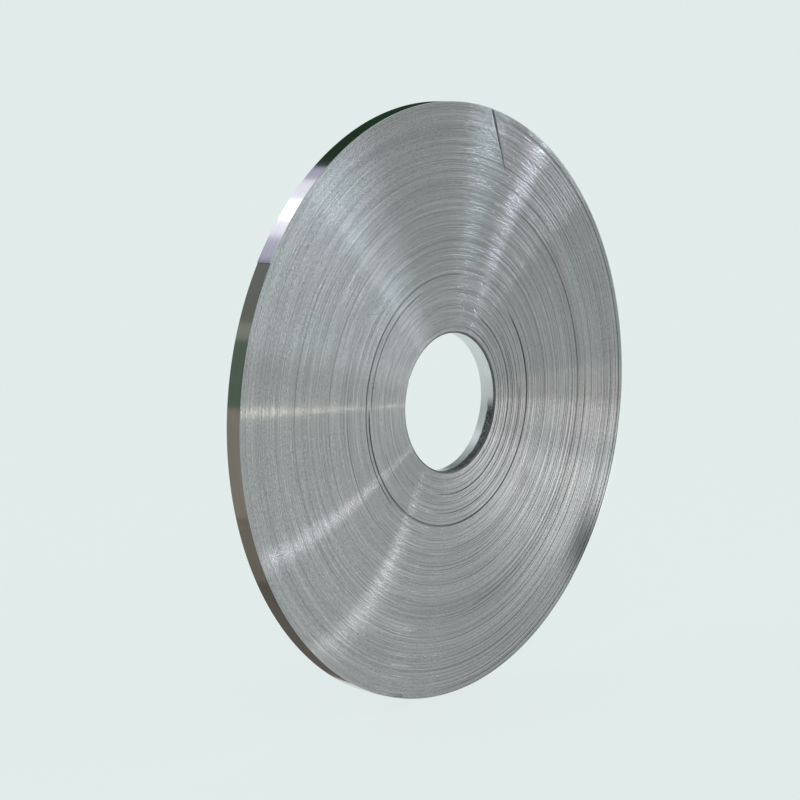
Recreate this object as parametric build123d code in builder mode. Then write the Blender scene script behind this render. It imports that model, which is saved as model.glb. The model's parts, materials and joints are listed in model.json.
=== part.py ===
"""A narrow slit coil of bright steel strip, standing on its rim.

One long strip is wound on itself around an open bore. The bore's axis lies along Y, the front end
faces -Y, and the coil stands on the floor at Z = 0. Lengths are in millimetres, and angles are in
degrees, counter-clockwise from +X as seen from the front.
"""

import os
from math import cos, radians, sin

from build123d import *

# The strip, and the hole that it is wound around.
strip_width = 36.0
strip_gauge = 1.0
bore_radius = 150.0

# The wound build-up from the bore outwards. Each group of turns has run a little to one side in
# winding: its turns, and how far it stands out at the front, which is how far it is in at the back.
# Both are counted in gauges of strip.
winding_groups = [
    (4, -2.0),
    (9, -0.6),
    (34, 0.0),
    (4, -1.4),
    (30, 0.3),
    (10, -1.2),
    (23, -0.2),
    (6, -2.2),
    (9, 0.4),
    (181, 0.0),
    (4, -1.3),
    (24, 0.5),
    (4, -1.2),
    (100, -0.1),
    (4, -1.0),
    (30, 0.3),
    (4, -1.1),
    (12, 0.0),
]

# The two cut ends of the strip: the inner one in the bore and the tail on the rim.
inner_end_angle = 158.0
inner_end_ramp = 24.0
tail_angle = 149.5

# A crease where the edges of the outer turns are knocked in, on the front end only.
crease_rim_angle = 77.6
crease_length = 139.0
crease_slant = 31.5
crease_width = 5.0
crease_depth = 1.2

# What follows from these sizes.
outer_radius = bore_radius + strip_gauge * sum(turns for turns, _ in winding_groups)
floor_angle = 270.0
turn_share_at_floor = (floor_angle - tail_angle) % 360 / 360
axis_height = outer_radius - strip_gauge * (1 - turn_share_at_floor)
middle = Plane(origin=(0, 0, axis_height), x_dir=(1, 0, 0), z_dir=(0, -1, 0))
front = middle.offset(strip_width / 2)


def out_at(angle):
    """The unit direction from the axis towards an angle of the front end."""
    return Vector(cos(radians(angle)), sin(radians(angle)))


def spiral_outline():
    """Draws the rim: tangent arcs that grow by one gauge in a turn, then the strip's cut tail."""
    arcs = 4
    sweep = 360 / arcs
    growth = strip_gauge / arcs
    arc_radius = outer_radius - strip_gauge + growth / 2
    centre = (out_at(tail_angle + sweep) + out_at(tail_angle + 2 * sweep)) * (growth / 2)
    first = centre + out_at(tail_angle) * arc_radius
    for step in range(arcs):
        angle = tail_angle + step * sweep
        CenterArc(centre, arc_radius, angle, sweep)
        last = centre + out_at(angle + sweep) * arc_radius
        centre -= out_at(angle + sweep) * growth
        arc_radius += growth
    Line(last, first)


with BuildPart() as steel_coil:
    # The turned body: every group of turns is one strip width wide and sits a little to one side.
    with BuildSketch(Plane.XY.offset(axis_height)) as section:
        inside = bore_radius
        for turns, stands_out in winding_groups:
            build_up = turns * strip_gauge
            with Locations((inside + build_up / 2, -stands_out * strip_gauge)):
                Rectangle(build_up, strip_width)
            inside += build_up
        with Locations((outer_radius + strip_gauge / 2, -stands_out * strip_gauge)):
            Rectangle(strip_gauge, strip_width)
    revolve(axis=Axis((0, 0, axis_height), (0, 1, 0)))

    # The rim follows the last turn, so the strip's tail ends in a step of one gauge.
    with BuildSketch(middle) as rim:
        with BuildLine():
            spiral_outline()
        make_face()
    extrude(amount=strip_width, both=True, mode=Mode.INTERSECT)

    # In the bore the second turn climbs over the strip's inner end and leaves a small wedge open.
    with BuildSketch(middle) as inner_end:
        with BuildLine():
            tip = out_at(inner_end_angle) * (bore_radius - strip_gauge)
            lifted = out_at(inner_end_angle) * (bore_radius + strip_gauge)
            climbing = out_at(inner_end_angle - inner_end_ramp / 2) * (bore_radius + strip_gauge / 2)
            seated = out_at(inner_end_angle - inner_end_ramp) * bore_radius
            Line(tip, lifted)
            ThreePointArc(lifted, climbing, seated)
            Line(seated, tip)
        make_face()
    extrude(amount=strip_width, both=True, mode=Mode.SUBTRACT)

    # The crease is a shallow valley across the front: widest and deepest at the rim.
    rim_point = out_at(crease_rim_angle) * outer_radius
    crease_line = out_at(crease_rim_angle + 180 + crease_slant)
    across_crease = crease_line.rotate(Axis.Z, 90)
    outside = rim_point - crease_line * crease_width
    point_end = rim_point + crease_line * crease_length
    with BuildSketch(front.offset(crease_depth)) as crease:
        with BuildLine():
            Polyline(
                outside + across_crease * crease_width,
                outside - across_crease * crease_width,
                point_end,
                close=True,
            )
        make_face()
    extrude(amount=-2 * crease_depth, taper=30, mode=Mode.SUBTRACT)
steel_coil.part.label = "steel_coil"

os.makedirs("parts", exist_ok=True)
export_step(steel_coil.part, "parts/steel_coil.step")
print(steel_coil.part.bounding_box(), "volume", round(steel_coil.part.volume))
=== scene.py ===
"""A narrow slit coil of bright steel strip, standing on its rim, in a plain pale studio.

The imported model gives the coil's place and size. Everything is in metres. Angles are in degrees,
counter-clockwise from +X as the front end is seen, so 90 is the top of the coil and 180 is its left.
"""

import json
from math import cos, pi, radians, sin, sqrt

import bpy
import numpy as np
from mathutils import Matrix, Vector


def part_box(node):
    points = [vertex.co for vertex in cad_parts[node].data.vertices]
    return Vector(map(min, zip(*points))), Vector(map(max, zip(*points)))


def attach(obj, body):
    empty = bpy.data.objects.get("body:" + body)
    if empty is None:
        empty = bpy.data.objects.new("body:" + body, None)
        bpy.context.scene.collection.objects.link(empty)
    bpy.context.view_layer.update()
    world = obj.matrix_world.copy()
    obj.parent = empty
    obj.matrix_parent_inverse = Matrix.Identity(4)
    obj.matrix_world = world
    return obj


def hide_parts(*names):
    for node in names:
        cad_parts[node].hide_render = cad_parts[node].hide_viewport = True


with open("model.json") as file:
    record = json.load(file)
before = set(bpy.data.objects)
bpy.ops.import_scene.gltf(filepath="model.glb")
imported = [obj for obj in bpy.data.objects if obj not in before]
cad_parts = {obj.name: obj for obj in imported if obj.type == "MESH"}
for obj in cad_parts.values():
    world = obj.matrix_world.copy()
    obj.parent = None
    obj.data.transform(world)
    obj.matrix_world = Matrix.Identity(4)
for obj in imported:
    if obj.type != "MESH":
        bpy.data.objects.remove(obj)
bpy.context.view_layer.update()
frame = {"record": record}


# The wound turns: one long steel strip, slit to width and wound on itself under tension. Its two
# ends are the strip's slit edges, side by side. Some groups of turns have run a little to one side,
# and near the rim a knock has left a short crease across the edges.

mm = 0.001
gauge = 1.0 * mm
mounts = {mount["name"]: mount for mount in frame["record"]["mounts"]}
bore_radius = mounts["bore"]["dims"]["r_mm"] * mm
strip_width = mounts["bore"]["dims"]["length_mm"] * mm
axis_height = mounts["bore"]["pos_m"][2]
coil_low, coil_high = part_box("steel_coil")
rim_radius = (coil_high.x - coil_low.x) / 2 + gauge / 2

# The coil's own axes: its x is the frame's X, its y is up, and its z points out of the front end.
coil_place = Matrix.Translation((0, 0, axis_height)) @ Matrix.Rotation(pi / 2, 4, "X")

# The narrow grooves where a few turns are set in at the front end, roughly from the bore outwards:
# the radius as a share of the rim's, how many turns, how many millimetres deep, and between which
# angles. The back end, which isn't seen, has some of them too, and shallower.
set_in_marks = [
    (0.2365, 5, 2.0, 0, 360), (0.258, 2, 0.3, 0, 360), (0.310, 3, 1.5, 255, 420),
    (0.335, 2, 0.5, 280, 400), (0.362, 2, 0.7, 200, 420), (0.374, 2, 1.5, 255, 360),
    (0.416, 4, 2.2, 180, 400), (0.406, 3, 1.6, 110, 178), (0.431, 3, 1.5, 85, 225),
    (0.447, 2, 0.5, 90, 150), (0.481, 2, 0.3, 60, 130), (0.497, 2, 0.4, 270, 370),
    (0.521, 2, 0.5, 0, 360), (0.541, 2, 0.4, 30, 160), (0.559, 3, 0.6, 85, 130),
    (0.565, 2, 0.4, 190, 330), (0.607, 2, 0.4, 0, 360), (0.655, 2, 0.4, 250, 360),
    (0.687, 2, 0.5, 0, 360), (0.705, 2, 0.4, 190, 345), (0.719, 3, 0.8, 280, 420),
    (0.721, 2, 0.6, 60, 200), (0.745, 2, 0.7, 225, 300), (0.763, 3, 0.8, 290, 360),
    (0.764, 2, 0.8, 140, 200), (0.770, 2, 0.6, 45, 120), (0.809, 2, 0.4, 90, 330),
    (0.830, 2, 0.4, 20, 270), (0.855, 2, 0.3, 20, 130), (0.889, 2, 0.3, 0, 360),
    (0.908, 2, 0.4, 90, 290), (0.925, 3, 0.7, 285, 370), (0.960, 2, 0.5, 180, 340),
    (0.978, 3, 0.7, 265, 430), (0.9935, 3, 0.6, 250, 350),
]
back_marks = [(place, turns, 0.4 * depth, start, end)
              for place, turns, depth, start, end in set_in_marks[::3]]
# The grooves are darkened with painted shade and some grime. The deeper a groove is set in, the darker
# it is, and it is darkest at this depth.
deepest_mark = 2.2 * mm
mark_fade = 14.0

# The layers between the grooves: groups of turns that lie level with each other. They stand out or
# in a little from one to the next, lean, and ripple round the coil.
front_layer_turns, back_layer_turns = 5, 8
layer_scatter, layer_wander, layer_ripple = 0.08 * mm, 0.12 * mm, 0.1 * mm
outward_lean, lean_scatter = -0.08, 0.02
widest_wall = 0.12 * gauge
layer_sharp_angle = 3

# The crease, from the rim inwards, and the finer columns of points that it needs.
crease_rim_angle = 77.6
crease_length = 139 * mm
crease_slant = 31.5
crease_width = 11 * mm
crease_depth = 1.4 * mm
crease_narrowing = 0.5
# How dark the painted shade in the crease is.
crease_shade = 2.4
fine_start, fine_end = crease_rim_angle - 10.5, crease_rim_angle + 1
fine_columns, coarse_columns = 54, 168

# The grimy patch on the outermost turns, at the lower right. Its radii are shares of the rim's.
patch_start, patch_end = 315, 328
patch_radius, patch_fade = 0.86, 0.1
patch_grime = 1.5


def direction(angle):
    """The unit vector from the coil's axis towards an angle, on the coil's own axes."""
    return Vector((cos(radians(angle)), sin(radians(angle)), 0))


def smooth(share):
    """A soft step: 0 below 0, 1 above 1, and rounded at both."""
    share = np.clip(share, 0, 1)
    return share * share * (3 - 2 * share)


def within(angles, start, end):
    """1 between two angles and 0 elsewhere round the coil, with a soft fade at both."""
    if end - start >= 360:
        return np.ones_like(angles)
    middle, half = (start + end) / 2, (end - start) / 2
    away = np.abs((angles - middle + 180) % 360 - 180)
    return smooth((half + mark_fade / 2 - away) / mark_fade)


def wound_layers(random, mean_turns, marks):
    """The radii between the layers, and how far each layer stands out, leans and shines."""
    edges = [bore_radius + 2 * gauge]
    last = rim_radius - 2 * gauge
    while edges[-1] < last:
        edges.append(min(edges[-1] + gauge * random.integers(1, 2 * mean_turns), last))
    for place, turns, *_ in marks:
        middle, half = place * rim_radius, turns * gauge / 2
        edges = edges[:1] + [edge for edge in edges[1:] if abs(edge - middle) > half + gauge / 2]
        edges += [edge for edge in (middle - half, middle + half) if edge > edges[0] + gauge]
    edges = sorted(edges)
    kept = [edge for edge, after in zip(edges, edges[1:]) if after - edge > gauge / 3]
    edges = np.array(kept + edges[-1:])
    count = len(edges) - 1
    wander = np.convolve(random.normal(0, 1, count + 8), np.ones(9) / 3, "valid")
    stands_out = layer_scatter * random.normal(0, 1, count) + layer_wander * wander
    lean = random.normal(outward_lean, lean_scatter, count)
    tone = random.normal(0, 1, count)
    return edges, stands_out, lean, tone


def end_grid(random, mean_turns, angles, marks, side):
    """Rings of points over one end: two rings to a layer, with a small wall between layers."""
    edges, stands_out, leans, tones = wound_layers(random, mean_turns, marks)
    radii, height, shade, shade_and_grime = [], [], [], []
    for inner, outer, out, lean, tone in zip(edges[:-1], edges[1:], stands_out, leans, tones):
        wall = min(widest_wall, (outer - inner) / 6)
        tilt = lean * (outer - inner) / 2
        phase, lobes = random.uniform(0, 2 * pi), random.integers(1, 4)
        ripple = layer_ripple * np.cos(np.radians(angles) * lobes + phase)
        set_in = np.zeros_like(angles)
        for place, turns, depth, start, end in marks:
            if abs((inner + outer) / 2 - place * rim_radius) < turns * gauge / 2:
                set_in = np.maximum(set_in, depth * mm * within(angles, start, end))
        for radius, rise in ((inner + wall, out - tilt), (outer - wall, out + tilt)):
            radii.append(np.full_like(angles, radius))
            height.append(rise + ripple - set_in * np.sign(side))
            shade.append(tone + 0.5 * np.cos(np.radians(angles) * lobes + phase + 1))
            # Painted shade and grime in the set-in grooves, darker the deeper they are.
            shade_and_grime.append((set_in / deepest_mark) ** 1.5)
    radii, height = np.array(radii), np.array(height)
    points = np.stack([
        radii * np.cos(np.radians(angles)), radii * np.sin(np.radians(angles)),
        side * (strip_width / 2 + height),
    ], axis=-1)
    return points, np.array(shade), np.array(shade_and_grime)


def press_crease(points):
    """Presses the crease into the front end's points, as a valley that narrows inwards."""
    rim_point = np.array(direction(crease_rim_angle) * rim_radius)
    along = np.array(direction(crease_rim_angle + 180 + crease_slant))
    across = np.array([-along[1], along[0], 0])
    offset = points - rim_point
    run = offset @ along / crease_length
    half = crease_width / 2 * (1 - crease_narrowing * run)
    valley = np.clip(1 - np.abs(offset @ across) / np.maximum(half, 0.001 * mm), 0, 1)
    valley *= (run > -0.1) & (run < 1)
    points[..., 2] -= crease_depth * valley * np.clip(2 - 2 * run, 0, 1)
    return valley


def new_piece(name, points, faces, material, sharp_angle):
    """A mesh object on the coil's own axes, with its sharp edges marked."""
    mesh = bpy.data.meshes.new(name)
    mesh.from_pydata(points.tolist(), [], faces)
    mesh.polygons.foreach_set("use_smooth", [True] * len(mesh.polygons))
    mesh.set_sharp_from_angle(angle=radians(sharp_angle))
    mesh.materials.append(material)
    piece = bpy.data.objects.new(name, mesh)
    piece.matrix_world = coil_place
    bpy.context.scene.collection.objects.link(piece)
    return piece


class Value:
    """A socket whose value can be used in sums. Each sum adds a Math node to the material."""

    def __init__(self, finish, socket):
        self.finish, self.socket = finish, socket

    def sum(self, operation, *parts):
        return self.finish.node("ShaderNodeMath", {"operation": operation}, dict(enumerate(parts)))

    def __add__(self, other):
        return self.sum("ADD", self, other)

    def __sub__(self, other):
        return self.sum("SUBTRACT", self, other)

    def __rsub__(self, other):
        return self.sum("SUBTRACT", other, self)

    def __mul__(self, other):
        return self.sum("MULTIPLY", self, other)

    __radd__, __rmul__ = __add__, __mul__

    def between(self, low, high):
        """0 below low, 1 above high, and a soft step from one to the other."""
        return self.finish.node(
            "ShaderNodeMapRange", {"interpolation_type": "SMOOTHSTEP"},
            {"Value": self, "From Min": low, "From Max": high})


class Finish:
    """The nodes of a material, or of the world. node() adds a node of any type, with its settings
    and its sockets' values, and gives back one of its outputs."""

    def __init__(self, owner):
        owner.use_nodes = True
        self.owner, self.tree = owner, owner.node_tree
        self.tree.nodes.clear()

    def node(self, kind, settings=None, sockets=None, out=0):
        made = self.tree.nodes.new(kind)
        for name, setting in (settings or {}).items():
            setattr(made, name, setting)
        for name, value in (sockets or {}).items():
            if isinstance(value, Value):
                self.tree.links.new(value.socket, made.inputs[name])
            else:
                made.inputs[name].default_value = value
        return Value(self, made.outputs[out]) if len(made.outputs) else None

    def vector(self, operation, *parts, out=0):
        return self.node("ShaderNodeVectorMath", {"operation": operation}, dict(enumerate(parts)), out)

    def mix(self, share, first, second, blend="MIX"):
        """A colour part of the way from first to second."""
        return self.node("ShaderNodeMix", {"data_type": "RGBA", "blend_type": blend},
                         {0: share, 6: first, 7: second}, out=2)

    def noise(self, vector, scale, detail=2.0, roughness=0.5):
        return self.node("ShaderNodeTexNoise", {}, {
            "Vector": vector, "Scale": scale, "Detail": detail, "Roughness": roughness})

    def attribute(self, name):
        return self.node("ShaderNodeAttribute", {"attribute_name": name}, out="Fac")

    def bump(self, height, depth, under=None):
        """Relief of a given depth. under is coarser relief that it lies on."""
        sockets = {"Height": height, "Distance": depth, "Strength": 1.0, "Filter Width": 0.02}
        if under:
            sockets["Normal"] = under
        return self.node("ShaderNodeBump", {}, sockets)

    def metal(self, colour, roughness, others={}):
        """Bare metal, with any other sockets of its shader."""
        sockets = {"Base Color": colour, "Metallic": 1.0, "Roughness": roughness, **others}
        return self.show(self.node("ShaderNodeBsdfPrincipled", {}, sockets))

    def show(self, shader, output="ShaderNodeOutputMaterial"):
        self.node(output, {}, {"Surface": shader})
        return self.owner


def coil_coordinates(finish):
    """Where a point lies on the coil: its place, its radius, and its direction from the axis."""
    place = finish.node("ShaderNodeTexCoord", out="Object")
    flat = finish.vector("MULTIPLY", place, (1, 1, 0))
    radius = finish.vector("LENGTH", flat, out="Value")
    outwards = finish.vector("NORMALIZE", flat)
    return place, radius, outwards


def ring_noise(finish, radius, outwards, lines_per_metre, change, detail=2.0, roughness=0.5):
    """Noise drawn out round the coil: fine across the turns, and slow to change along them."""
    height = finish.node("ShaderNodeCombineXYZ", {}, {"Z": radius * lines_per_metre})
    along = finish.vector("MULTIPLY", outwards, (change, change, change))
    return finish.noise(finish.vector("ADD", height, along), 1.0, detail, roughness)


def slit_edge_finish():
    """The strip's slit edges: bright sheared steel in fine rings, darkened with painted shade and grime
    where turns are set in, and with painted shade in the crease.
    """
    dark_steel, light_steel = (0.222, 0.219, 0.222, 1), (0.492, 0.48, 0.484, 1)
    green_tint, pink_tint = (0.93, 1.0, 0.97, 1), (1.0, 0.965, 0.97, 1)
    # The colour of the grime, and of the painted shade in the grooves and the crease.
    dark_grime_and_shade = (0.10, 0.105, 0.10, 1)
    finish = Finish(bpy.data.materials.new("slit_edges"))
    place, radius, outwards = coil_coordinates(finish)
    ring = finish, radius, outwards
    fine = ring_noise(*ring, lines_per_metre=1100, change=1.6, roughness=0.6)
    middling = ring_noise(*ring, lines_per_metre=520, change=1.6, detail=1.0)
    broad = ring_noise(*ring, lines_per_metre=60, change=0.8)
    grain = ring_noise(*ring, lines_per_metre=700, change=110.0, detail=1.0)
    jagged = ring_noise(*ring, lines_per_metre=260, change=6.0)
    patch = finish.noise(place, scale=6.0, detail=3.0)
    tone = finish.attribute("tone")
    shade_and_grime = finish.attribute("shade_and_grime")

    light = (fine - 0.5) * 0.4 + (middling - 0.5) * 0.4 + (broad - 0.5) * 0.12 + (grain - 0.5) * 0.7
    light = light + tone * 0.02 + 0.5
    steel = finish.mix(light.between(0.1, 0.9), dark_steel, light_steel)
    tint = finish.mix(patch.between(0.35, 0.65), green_tint, pink_tint)
    steel = finish.mix(0.5, steel, tint, blend="MULTIPLY")
    # Painted shade and grime in the grooves, painted shade in the crease and grime on the patch all
    # darken the steel.
    steel = finish.mix(shade_and_grime * 0.5, steel, dark_grime_and_shade)
    roughness = 0.15 + (middling - 0.5) * 0.04 + (grain - 0.5) * 0.03 + shade_and_grime * 0.2
    rings = finish.bump(fine * 0.22 + middling * 0.11, depth=1.6 * mm)
    sheared = finish.bump(jagged, depth=0.04 * mm, under=rings)
    return finish.metal(steel, roughness, {
        "Normal": sheared, "Anisotropic": 1.0, "Anisotropic Rotation": 0.25})


def both_ends():
    """Both ends as rings of layers, joined through the bore and round the rim."""
    random = np.random.default_rng(seed=7)
    columns = np.concatenate([
        np.linspace(fine_end, fine_start + 360, coarse_columns, endpoint=False),
        np.linspace(fine_start, fine_end, fine_columns, endpoint=False) + 360,
    ])
    front, front_tone, shade_and_grime = end_grid(random, front_layer_turns, columns, set_in_marks, 1)
    back, back_tone, _ = end_grid(random, back_layer_turns, columns, back_marks, -1)
    # The crease is darkened with painted shade along its valley.
    shade_and_grime = np.maximum(shade_and_grime, crease_shade * press_crease(front))
    place = np.linalg.norm(front[..., :2], axis=-1) / rim_radius
    patch = smooth((place - patch_radius) / patch_fade) * within(columns, patch_start, patch_end)
    shade_and_grime = shade_and_grime + patch_grime * patch

    points = np.concatenate([front.reshape(-1, 3), back[::-1].reshape(-1, 3)])
    grid = np.arange(len(points)).reshape(-1, len(columns))
    grid = np.concatenate([grid, grid[:1]])
    after = np.roll(grid, -1, axis=1)
    faces = np.stack([grid[:-1], grid[1:], after[1:], after[:-1]], axis=-1).reshape(-1, 4).tolist()
    piece = new_piece("wound_turns", points, faces, slit_edge_finish(), layer_sharp_angle)
    tone = np.concatenate([front_tone.ravel(), back_tone[::-1].ravel()])
    # Painted shade and grime on the front end only.
    shade_and_grime = np.concatenate([shade_and_grime.ravel(), np.zeros(back_tone.size)])
    for name, values in (("tone", tone), ("shade_and_grime", shade_and_grime)):
        piece.data.attributes.new(name, "FLOAT", "POINT").data.foreach_set("value", values)
    return piece


wound_turns = both_ends()
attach(wound_turns, "root")
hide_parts("steel_coil")


# The outer turn: the last turn of strip, with its smooth rolled face outwards. It ends in a square
# cut tail at the upper left, which springs up a little from the turn under it.

tail_angle = 149.5
tail_spring = 0.7 * mm
tail_spring_angle = 5.0
strip_bevel = 0.25 * gauge
band_sharp_angle = 30
turn_share = np.linspace(0, 1, 361)


def one_turn(name, start_angle, inner, outer, material, set_in=0):
    """One turn of strip from start_angle round to itself. Its radii are single numbers, or one for
    each step of turn_share."""
    angles = np.radians(start_angle + 360 * turn_share)
    half = strip_width / 2
    section = [
        (inner, half - strip_bevel), (inner + strip_bevel, half),
        (outer - strip_bevel, half), (outer, half - strip_bevel),
        (outer, strip_bevel - half), (outer - strip_bevel, -half),
        (inner + strip_bevel, -half), (inner, strip_bevel - half),
    ]
    points = np.stack([
        np.stack([radius * np.cos(angles), radius * np.sin(angles), np.full_like(angles, z - set_in)],
                 axis=-1)
        for radius, z in section])
    grid = np.arange(points.shape[0] * points.shape[1]).reshape(points.shape[:2])
    closed = np.concatenate([grid, grid[:1]])
    faces = np.stack([closed[:-1, :-1], closed[1:, :-1], closed[1:, 1:], closed[:-1, 1:]], axis=-1)
    faces = faces.reshape(-1, 4).tolist() + [grid[:, 0].tolist(), grid[::-1, -1].tolist()]
    return new_piece(name, points.reshape(-1, 3), faces, material, band_sharp_angle)


def rolled_finish():
    """The strip's rolled face: close to a mirror, with faint rolling lines along the strip."""
    grey_steel, bright_steel = (0.5, 0.5, 0.5, 1), (0.66, 0.66, 0.66, 1)
    finish = Finish(bpy.data.materials.new("rolled_face"))
    place, radius, outwards = coil_coordinates(finish)
    across = finish.node("ShaderNodeSeparateXYZ", {}, {0: place}, out="Z")
    lines = finish.node("ShaderNodeCombineXYZ", {}, {"Z": across * 900})
    along = finish.vector("MULTIPLY", outwards, (3, 3, 3))
    grain = finish.noise(finish.vector("ADD", lines, along), scale=1.0)
    cloud = finish.noise(place, scale=5.0)
    steel = finish.mix((grain * 0.5 + cloud * 0.5).between(0.3, 0.7), grey_steel, bright_steel)
    return finish.metal(steel, 0.07 + cloud * 0.08, {"Normal": finish.bump(grain, depth=0.02 * mm)})


# The rolled face lies one gauge further out after a full turn, and the tail springs up from it.
sprung = smooth(1 - (1 - turn_share) * 360 / tail_spring_angle)
rolled_face = rim_radius - gauge + gauge * turn_share + tail_spring * sprung
outer_turn = one_turn("outer_turn", tail_angle, rim_radius - 2 * gauge, rolled_face, rolled_finish())
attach(outer_turn, "root")


# The inner turn: the first turn of strip, wound on a mandrel that has since been drawn out. Its
# face lines the bore, and the next turn climbs over its cut end.

inner_end_angle = 158.0
climb_angle = 8.0
inner_set_in = 2 * mm
stain_angle = -60.0
stain_depth = 5 * mm


def bore_finish():
    """The lining of the bore: a rolled face too, stained along its front edge at the lower right, and
    with painted shade along its front edge all round.
    """
    grey_steel, bright_steel = (0.62, 0.64, 0.64, 1), (0.78, 0.8, 0.8, 1)
    dark_stain_and_shade, pale_stain_and_shade = (0.03, 0.032, 0.03, 1), (0.2, 0.21, 0.2, 1)
    finish = Finish(bpy.data.materials.new("bore_face"))
    place, radius, outwards = coil_coordinates(finish)
    speckle = finish.noise(place, scale=260.0, detail=3.0, roughness=0.7)
    cloud = finish.noise(place, scale=40.0)
    depth = finish.node("ShaderNodeSeparateXYZ", {}, {0: place}, out="Z")
    lower_right = finish.vector("DOT_PRODUCT", outwards, tuple(direction(stain_angle)), out="Value")
    stain_edge = (depth + cloud * 6 * mm).between(0.2 * stain_depth, stain_depth)
    stain = lower_right.between(0.48, 0.7) * stain_edge
    # Painted shade along the bore's front edge, all round.
    front_edge = (depth + inner_set_in).between(strip_width / 2 - 2 * gauge, strip_width / 2 - gauge)
    steel = finish.mix(cloud, grey_steel, bright_steel)
    dark = finish.mix(speckle.between(0.4, 0.6), dark_stain_and_shade, pale_stain_and_shade)
    # The stain at the lower right, and the painted shade along the front edge, take the dark colours.
    steel = finish.mix(stain + (1 - stain) * front_edge, steel, dark)
    return finish.metal(steel, 0.3 + stain * 0.2)


# The bore is true to size, and one gauge further out where the turn climbs over the cut end.
bore_face = bore_radius + gauge * smooth(1 - (1 - turn_share) * 360 / climb_angle)
inner_turn = one_turn(
    "inner_turn", inner_end_angle, bore_face, bore_radius + 2 * gauge, bore_finish(), inner_set_in)
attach(inner_turn, "root")


# The studio: a pale floor that runs up in a bend into a pale backdrop. Both are one sheet of paper,
# turned to face the camera, and no part of the coil.

paper = (0.753, 0.823, 0.815, 1)
floor_reach = 6.0
backdrop_bend, backdrop_height = 2.0, 5.0
backdrop_angle = -49


def paper_finish():
    """Pale paper. The camera and the metal see mostly its plain colour, and enough of its shading
    for a soft shadow."""
    finish = Finish(bpy.data.materials.new("pale_paper"))
    plain = finish.node("ShaderNodeEmission", {}, {"Color": paper, "Strength": 1.085})
    lit = finish.node("ShaderNodeBsdfDiffuse", {}, {"Color": paper})
    seen = finish.node("ShaderNodeLightPath", out="Is Camera Ray")
    mirrored = finish.node("ShaderNodeLightPath", out="Is Glossy Ray")
    plain_share = (seen + mirrored) * 0.85
    return finish.show(finish.node("ShaderNodeMixShader", {}, {0: plain_share, 1: lit, 2: plain}))


def plain_sheet(name, points, material):
    """A sheet of four-sided faces, from pairs of points along its two long edges."""
    faces = [(2 * i, 2 * i + 1, 2 * i + 3, 2 * i + 2) for i in range(len(points) // 2 - 1)]
    mesh = bpy.data.meshes.new(name)
    mesh.from_pydata(points, [], faces)
    mesh.materials.append(material)
    sheet = bpy.data.objects.new(name, mesh)
    bpy.context.scene.collection.objects.link(sheet)
    return sheet


bend_start = floor_reach - backdrop_bend
bend_angles = np.radians(range(10, 91, 10))
paper_path = [(-floor_reach, 0.0), (bend_start, 0.0)]
paper_path += [(bend_start + backdrop_bend * sin(angle), backdrop_bend - backdrop_bend * cos(angle))
               for angle in bend_angles]
paper_path.append((floor_reach, backdrop_height))
paper_points = [(x, y, z) for y, z in paper_path for x in (-2 * floor_reach, 2 * floor_reach)]
studio_floor = plain_sheet("studio_floor", paper_points, paper_finish())
studio_floor.rotation_euler.z = radians(backdrop_angle)


# The camera, at the photograph's viewing angle: to the left of the front end and a little above.
# Its distance, and how far the coil lies from the picture's middle, are counted in rim radii.

camera_azimuth, camera_elevation = -49.3, 7.43
camera_distance = 7.0
coil_right, coil_below = 0.172, 0.0084
picture_side, focal_pixels = 800, 2089
sensor_width = 36.0

azimuth, elevation = radians(camera_azimuth), radians(camera_elevation)
towards_camera = Vector((sin(azimuth) * cos(elevation), -cos(azimuth) * cos(elevation), sin(elevation)))
camera_right = Vector((cos(azimuth), sin(azimuth), 0))
camera_up = towards_camera.cross(camera_right)
front_centre = Vector((0, -strip_width / 2, axis_height))
camera_place = front_centre + rim_radius * (
    camera_distance * towards_camera - coil_right * camera_right + coil_below * camera_up)

camera_data = bpy.data.cameras.new("camera")
camera_data.sensor_width = sensor_width
camera_data.lens = focal_pixels * sensor_width / picture_side
camera = bpy.data.objects.new("camera", camera_data)
camera.matrix_world = Matrix.Translation(camera_place) @ Matrix(
    (camera_right, camera_up, towards_camera)).transposed().to_4x4()
bpy.context.scene.collection.objects.link(camera)
bpy.context.scene.camera = camera


# The lamps: soft boxes. The fine rings of the front end throw each lamp's highlight along one
# radius, where the way half between lamp and camera is square to the rings, so each lamp is placed
# from the angle of the highlight that it gives.

aim_radius = 0.6 * rim_radius
least_facing = 0.02


def upright_direction(angle):
    """The unit vector from the coil's axis towards an angle, on the frame's axes."""
    return Vector((cos(radians(angle)), 0, sin(radians(angle))))


def streak_lamp(name, angle, spread, side, power, colour=(1, 1, 1), far=5.0):
    """A square soft box that lights one radius of the front end. spread is how far it is from the
    place that a mirror would show there, and far is its distance from the coil. No lamp is behind
    the front end."""
    radius = upright_direction(angle)
    aim = front_centre + aim_radius * radius
    seen = (camera_place - aim).normalized()
    way = spread * radius - seen
    way.y = 0
    way.y = -sqrt(max(least_facing, 1 - way.length_squared))
    way.normalize()

    data = bpy.data.lights.new(name, "AREA")
    data.shape = "RECTANGLE"
    data.size = data.size_y = side
    data.energy, data.color = power, colour
    lamp = bpy.data.objects.new(name, data)
    facing = (far * way).to_track_quat("Z", "Y").to_matrix().to_4x4()
    lamp.matrix_world = Matrix.Translation(aim + far * way) @ facing
    lamp.visible_camera = lamp.visible_diffuse = False
    bpy.context.scene.collection.objects.link(lamp)


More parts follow.
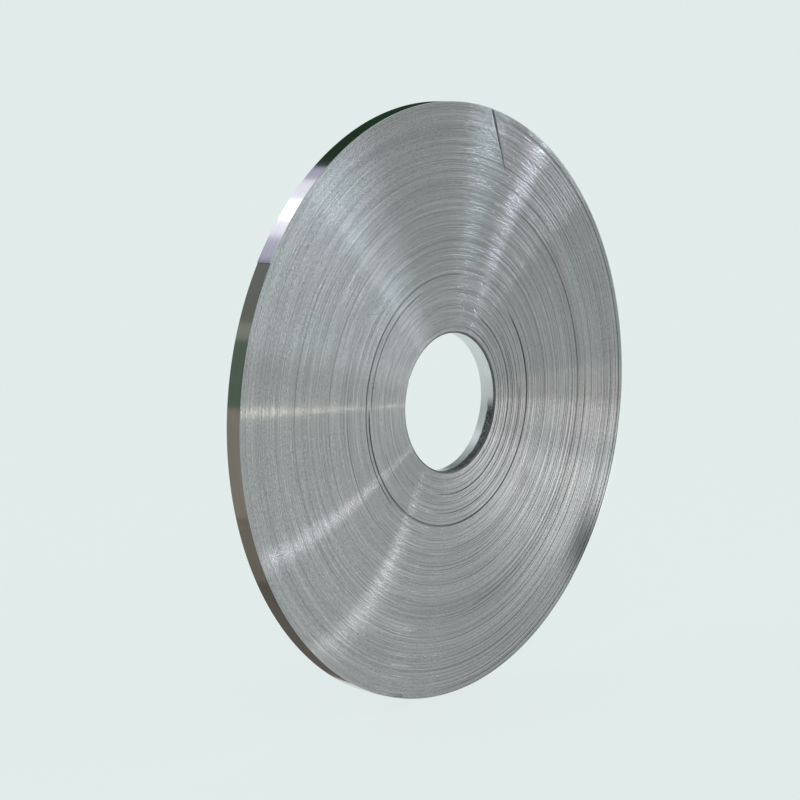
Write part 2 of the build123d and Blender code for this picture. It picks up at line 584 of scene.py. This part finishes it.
streak_lamp("lamp_right", 63.5, 0.29, 0.25, 25, (0.8, 0.84, 1.0), far=12.0)
streak_lamp("lamp_right_wide", 45, 0.45, 0.8, 10, (0.85, 0.9, 1.0))
streak_lamp("lamp_right_small", 79, 0.36, 0.26, 15, (0.7, 0.87, 1.0), far=8.0)
streak_lamp("lamp_top", 130, 0.50, 1.8, 19, (0.75, 0.88, 1.0))
streak_lamp("lamp_top_small", 130, 0.50, 0.12, 3)
streak_lamp("lamp_left", 153, 0.40, 1.2, 6.5, (0.8, 0.95, 1.0))
streak_lamp("lamp_left_small", 176.5, 0.62, 0.03, 3.2, (1.0, 0.97, 0.82))
streak_lamp("lamp_low_left", 209.5, 0.30, 0.05, 0.19, (0.95, 0.9, 1.0), far=1.35)
streak_lamp("lamp_low", 238, 0.16, 0.035, 0.045, far=0.8)
streak_lamp("lamp_low_right", 326, 0.08, 0.7, 1.6, far=2.0)
streak_lamp("lamp_low_near", 308, 0.08, 0.5, 0.7, far=1.1)
streak_lamp("lamp_low_side", 350, 0.15, 0.6, 0.9, (1.0, 0.8, 0.72), far=3.0)


# The cards: sheets behind the coil and to its left, out of the picture. Each glows in a given colour
# for the rim's mirror-like face to reflect, as painted reflections on the rim. Nothing but reflections
# shows them.

card_reach = 1.2
card_half_width = 0.2
card_rows = 9
over_floor = 0.98


def painted_reflection_card(name, first, last, colour, reach=card_reach):
    """A glowing sheet, a painted reflection, where the rim mirrors it between two angles. It stands off
    from the rim by its reach, and lies just over the floor where the way to it would run into the
    floor."""
    points = []
    for angle in np.linspace(first, last, card_rows):
        outwards = upright_direction(angle)
        rim_point = Vector((0, 0, axis_height)) + rim_radius * outwards
        seen = (camera_place - rim_point).normalized()
        way = 2 * seen.dot(outwards) * outwards - seen
        across = Vector((0, 1, 0)) - way.y * way
        distance = reach
        if way.z < 0:
            distance = min(reach, over_floor * rim_point.z / -way.z)
        if distance < reach:
            across.z = 0
        middle, half = rim_point + distance * way, card_half_width * across.normalized()
        points += [middle - half, middle + half]
    finish = Finish(bpy.data.materials.new(name))
    shine = finish.node("ShaderNodeEmission", {}, {"Color": colour, "Strength": 1.0})
    sheet = plain_sheet(name, points, finish.show(shine))
    sheet.visible_camera = sheet.visible_diffuse = sheet.visible_shadow = False


# Each card glows in its own colour: painted reflections, dark and bright, on the rim.
painted_reflection_card("dark_green_card", 80, 127.6, (0.02, 0.045, 0.025, 1))
painted_reflection_card("pale_card", 127.6, 148.6, (0.6, 0.6, 0.76, 1))
painted_reflection_card("white_card", 131, 144, (1.25, 1.25, 1.4, 1), reach=1.18)
painted_reflection_card("bright_card", 136, 140.5, (2.2, 2.2, 2.3, 1), reach=1.16)
painted_reflection_card("grey_card", 148.6, 160.5, (0.18, 0.19, 0.17, 1))
painted_reflection_card("narrow_card", 160.5, 163.5, (0.3, 0.32, 0.27, 1))
painted_reflection_card("green_card", 163.5, 175.5, (0.12, 0.17, 0.13, 1))
painted_reflection_card("brown_card", 175.5, 197, (0.3, 0.275, 0.235, 1))
painted_reflection_card("umber_card", 195, 208, (0.22, 0.2, 0.17, 1), reach=1.19)
painted_reflection_card("dark_brown_card", 206, 239, (0.15, 0.137, 0.12, 1), reach=1.18)


# The surroundings: even light from all round, the colour of the paper. The camera sees them a
# little stronger than they light the coil, so that they match the backdrop.

surroundings = Finish(bpy.data.worlds.new("studio"))
lit = surroundings.node("ShaderNodeBackground", {}, {"Color": paper, "Strength": 0.8})
plain = surroundings.node("ShaderNodeBackground", {}, {"Color": paper, "Strength": 1.01})
seen = surroundings.node("ShaderNodeLightPath", out="Is Camera Ray")
either = surroundings.node("ShaderNodeMixShader", {}, {0: seen, 1: lit, 2: plain})
bpy.context.scene.world = surroundings.show(either, output="ShaderNodeOutputWorld")
bpy.context.scene.view_settings.view_transform = "Standard"
